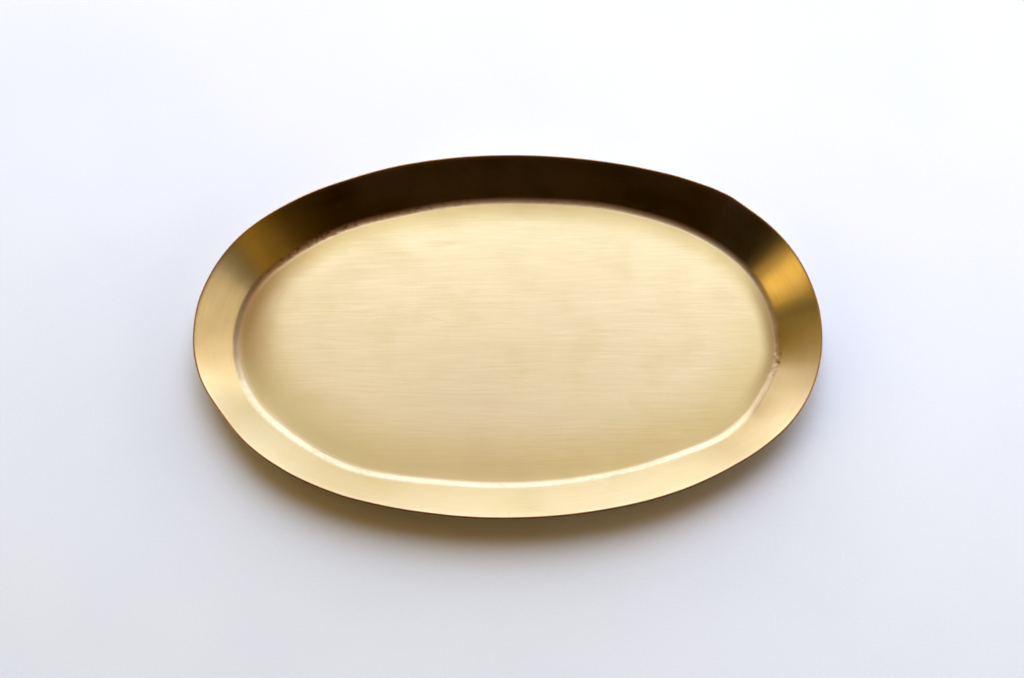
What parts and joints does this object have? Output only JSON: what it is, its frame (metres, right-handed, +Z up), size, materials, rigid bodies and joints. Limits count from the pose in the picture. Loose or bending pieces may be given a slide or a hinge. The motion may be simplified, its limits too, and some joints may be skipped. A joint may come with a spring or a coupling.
{
  "type": "oval tray",
  "caption": "Shallow oval tray of thin brushed brass sheet, with a flat well and a plain sloping rim.",
  "frame": {"origin": "on the surface that the tray stands on, under the middle of its outline", "axes": "+X along the tray to its right end, +Y towards its back edge, +Z up"},
  "size_m": [0.3, 0.181, 0.017],
  "materials": {
    "brushed_brass": "brushed along the tray's length, satin, not lacquered"
  },
  "bodies": {
    "root": {"tray": "brushed_brass"}
  },
  "joints": []
}
